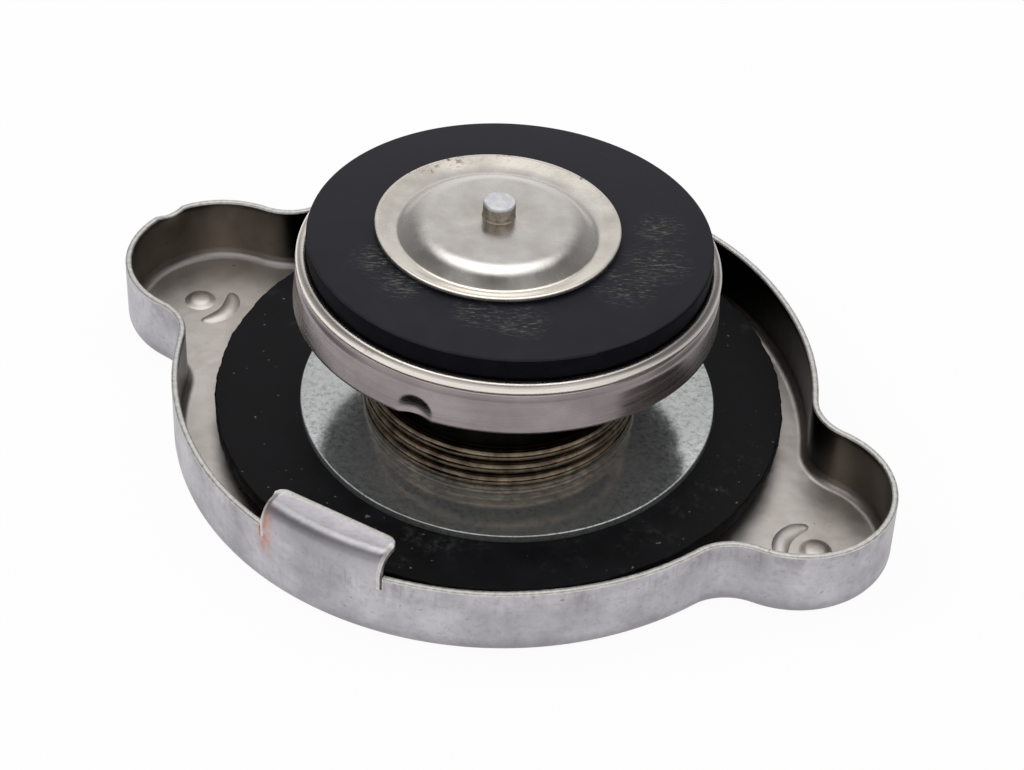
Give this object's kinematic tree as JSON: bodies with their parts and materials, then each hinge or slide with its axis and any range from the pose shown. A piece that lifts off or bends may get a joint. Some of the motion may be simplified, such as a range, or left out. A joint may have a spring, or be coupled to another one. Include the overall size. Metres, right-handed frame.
{
  "type": "radiator cap",
  "caption": "Pressed-steel pressure radiator cap with finger ears and bayonet lugs, lying valve side up, with a sprung pressure valve and a vacuum valve at its middle.",
  "frame": {"origin": "middle of the crown's outer face, on the cap's axis; the cap lies on its crown with the valve up", "axes": "+Z along the cap's axis from the crown toward the valve, X through the two finger ears, Y within about a degree of the line through the two bayonet lugs"},
  "size_m": [0.0916, 0.0686, 0.0295],
  "materials": {
    "shell_steel": "satin drawn sheet, worn",
    "spring_steel": "bright",
    "gasket_rubber": "matt",
    "galvanised_steel": "spangled zinc",
    "black_steel": "black phosphate",
    "plain_steel": "plain",
    "bronzed_wire": "oil-tempered",
    "pan_steel": "satin",
    "seal_rubber": "scuffed",
    "eyelet_brass": "dull",
    "disc_steel": "satin, specks of rust",
    "stem_aluminium": "dull"
  },
  "bodies": {
    "cap": {"cap_shell": "shell_steel"},
    "clamped_stack": {"spring_disc": "spring_steel", "outer_gasket": "gasket_rubber", "backing_plate": "galvanised_steel", "guide_bell": "black_steel", "centre_rivet": "plain_steel", "pressure_spring": "bronzed_wire"},
    "valve_head": {"valve_pan": "pan_steel", "pressure_seal": "seal_rubber", "valve_eyelet": "eyelet_brass", "vacuum_spring": "bronzed_wire"},
    "vacuum_valve": {"vacuum_disc": "disc_steel", "vacuum_stem": "stem_aluminium", "vacuum_washer": "eyelet_brass"}
  },
  "joints": [
    {"name": "crown_swivel", "type": "hinge", "parent": "cap", "child": "clamped_stack", "pos_m": [0, 0, 0], "axis": [0, 0, 1], "continuous": true},
    {"name": "pressure_valve_lift", "type": "slide", "parent": "clamped_stack", "child": "valve_head", "axis": [0, 0, -1], "range_m": [0, 0.0055], "stiffness_N_per_m": 9000, "springref_m": -0.0005, "deforming": ["pressure_spring"]},
    {"name": "vacuum_valve_open", "type": "slide", "parent": "valve_head", "child": "vacuum_valve", "axis": [0, 0.0489, 0.9988], "range_m": [0, 0.002], "stiffness_N_per_m": 400, "springref_m": -0.0005, "deforming": ["vacuum_spring"]}
  ]
}
